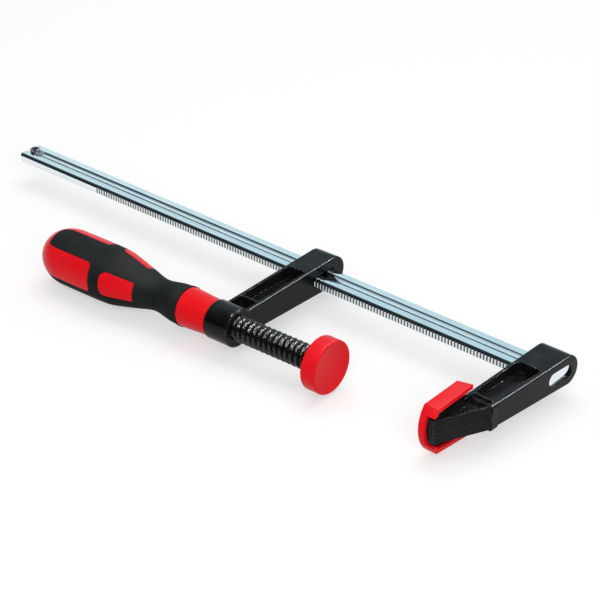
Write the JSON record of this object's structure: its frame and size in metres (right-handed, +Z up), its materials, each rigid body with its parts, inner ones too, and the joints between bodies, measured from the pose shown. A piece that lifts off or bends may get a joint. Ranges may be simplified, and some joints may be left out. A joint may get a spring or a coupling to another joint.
{
  "type": "bar clamp",
  "caption": "Screw bar clamp with a toothed steel rail, fixed and sliding cast jaws, red jaw caps, a swivel pad and a soft-grip handle.",
  "frame": {"origin": "on the fixed jaw's clamping face, in its middle plane, 63 mm from the rail's toothed edge", "axes": "+X along the rail from its free end towards the fixed jaw, the jaws reach out towards -Y, +Z up as the clamp lies on a bench"},
  "size_m": [0.4026, 0.1099, 0.033],
  "materials": {
    "zinc_steel": "bright zinc plating",
    "black_casting": "gloss black coat on cast iron",
    "black_steel": "blackened",
    "pin_steel": "plain spring steel",
    "red_cap": "satin, slightly soft",
    "red_core": "satin",
    "black_grip": "fine matt texture"
  },
  "bodies": {
    "frame": {"rail": "zinc_steel", "stop_pin": "pin_steel", "fixed_jaw": "black_casting", "fixed_jaw_cap": "red_cap"},
    "sliding_jaw": {"sliding_jaw": "black_casting"},
    "swivel_ring": {"swivel_ring": "pin_steel"},
    "spindle": {"spindle": "black_steel", "handle_core": "red_core", "handle_grip": "black_grip"},
    "pressure_plate": {"pressure_plate": "zinc_steel", "pressure_plate_cap": "red_cap"}
  },
  "joints": [
    {"name": "jaw_slide", "type": "slide", "parent": "frame", "child": "sliding_jaw", "axis": [1, 0, 0], "range_m": [-0.2205, 0.065]},
    {"name": "spindle_feed", "type": "slide", "parent": "sliding_jaw", "child": "swivel_ring", "axis": [0.9993, 0.0384, 0], "range_m": [-0.048, 0]},
    {"name": "spindle_spin", "type": "hinge", "parent": "swivel_ring", "child": "spindle", "pos_m": [-0.11002, 0.00192, 0], "axis": [0.9993, 0.0384, 0], "range_deg": [-4800, 0]},
    {"name": "plate_swivel", "type": "hinge", "parent": "swivel_ring", "child": "pressure_plate", "pos_m": [-0.076, 0.00322, 0], "axis": [0, 0, 1], "range_deg": [-6, 6]}
  ],
  "couplings": [
    {"joint": "spindle_feed", "follows": "spindle_spin", "m_per_rad": 0.00057296}
  ]
}
